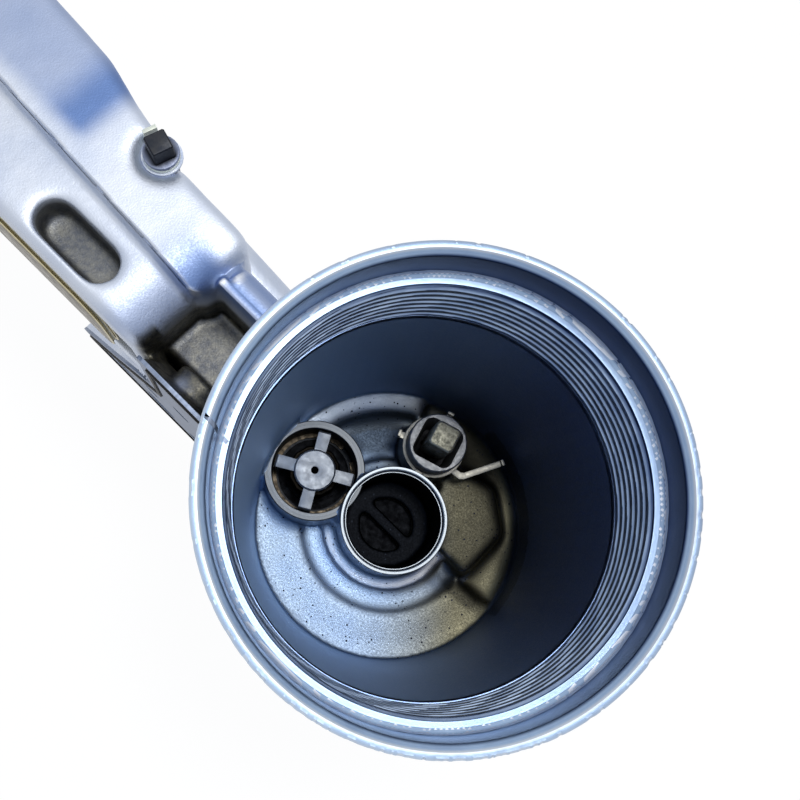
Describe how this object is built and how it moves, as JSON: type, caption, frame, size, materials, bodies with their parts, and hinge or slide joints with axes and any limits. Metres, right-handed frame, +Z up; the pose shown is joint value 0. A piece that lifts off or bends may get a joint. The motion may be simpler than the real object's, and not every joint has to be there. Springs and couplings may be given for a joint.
{
  "type": "oil filter base",
  "caption": "Cast aluminium oil filter bowl with threaded mouth, centre tube and floor valves, on an arm with a plate cooler and a flange for the engine block.",
  "frame": {"origin": "middle of the block flange's machined face", "axes": "+Z up along the bowl's axis towards its open mouth, -Y out of the flange's face towards the engine block, +X from the arm's far end towards the bowl"},
  "size_m": [0.303, 0.15, 0.234],
  "materials": {
    "cast_aluminium": "as cast, satin",
    "zinc_steel": "zinc plated",
    "spring_steel": "oiled",
    "black_steel": "blackened",
    "stainless": "brazed stainless steel",
    "rubber": "matt",
    "pale_tab": "pale coated sheet"
  },
  "bodies": {
    "base": {"housing": "cast_aluminium", "block_seal": "rubber", "oil_cooler": "stainless", "cooler_bolt_1": "zinc_steel", "cooler_bolt_2": "zinc_steel", "cooler_bolt_3": "zinc_steel", "cooler_bolt_4": "zinc_steel", "cooler_seal_left": "rubber", "cooler_seal_right": "rubber", "inlet_valve_seat": "zinc_steel", "inlet_valve_spring": "spring_steel", "inlet_valve_cage": "zinc_steel", "inlet_valve_circlip": "spring_steel", "drain_valve_sleeve": "cast_aluminium", "drain_valve_spring": "spring_steel", "drain_valve_clip": "zinc_steel", "outlet_valve_spring": "spring_steel", "chamber_plug": "zinc_steel", "deck_plug": "black_steel", "plug_washer": "zinc_steel", "plug_lock_tab": "pale_tab"},
    "inlet_disc": {"inlet_valve_disc": "zinc_steel"},
    "drain_plunger": {"drain_valve_plunger": "zinc_steel", "drain_valve_seal": "rubber"},
    "outlet_disc": {"outlet_valve_disc": "black_steel"}
  },
  "joints": [
    {"name": "inlet_valve_lift", "type": "slide", "parent": "base", "child": "inlet_disc", "axis": [0, 0, 1], "range_m": [0, 0.005], "stiffness_N_per_m": 200, "springref_m": -0.005, "deforming": ["inlet_valve_spring"]},
    {"name": "drain_press", "type": "slide", "parent": "base", "child": "drain_plunger", "axis": [0, 0, -1], "range_m": [0, 0.003], "stiffness_N_per_m": 400, "springref_m": -0.004, "deforming": ["drain_valve_spring"]},
    {"name": "outlet_valve_lift", "type": "slide", "parent": "base", "child": "outlet_disc", "axis": [0, 0, -1], "range_m": [0, 0.004], "stiffness_N_per_m": 250, "springref_m": -0.004, "deforming": ["outlet_valve_spring"]}
  ]
}
